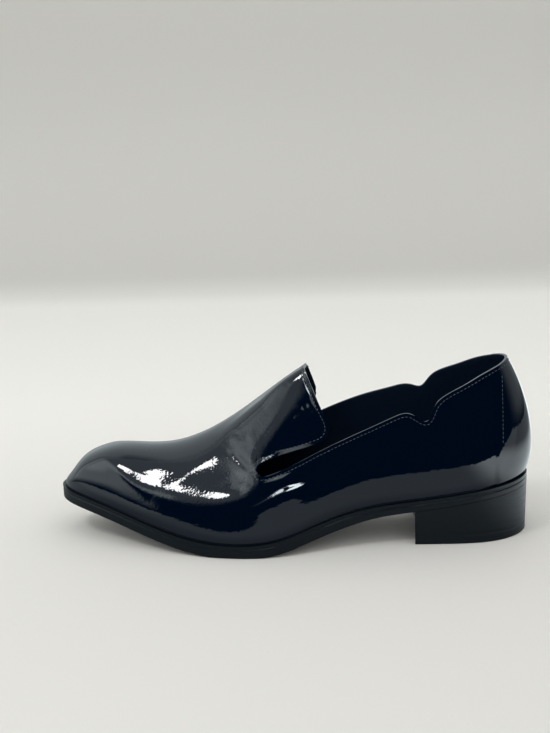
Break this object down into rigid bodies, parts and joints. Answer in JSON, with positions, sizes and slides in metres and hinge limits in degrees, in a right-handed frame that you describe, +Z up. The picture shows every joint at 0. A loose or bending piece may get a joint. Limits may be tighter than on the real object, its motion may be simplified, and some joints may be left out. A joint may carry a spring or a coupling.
{
  "type": "patent leather loafer",
  "caption": "Low slip-on dress shoe in glossy black leather: tapered toe, tongue between two side slits, stepped collar, thin sole with arch and a stacked heel. Left foot.",
  "frame": {"origin": "middle of the shoe's footprint box, on the floor", "axes": "-X towards the toe, -Y towards the outer side of the foot, +Z up"},
  "size_m": [0.321, 0.1008, 0.1178],
  "materials": {
    "patent_leather": "mirror-gloss black patent leather",
    "sole": "satin black sole edge",
    "heel": "satin black stacked heel",
    "insole": "matte black lining leather"
  },
  "bodies": {
    "root": {"upper": "patent_leather", "outsole": "sole", "heel": "heel", "insole": "insole"}
  },
  "joints": []
}
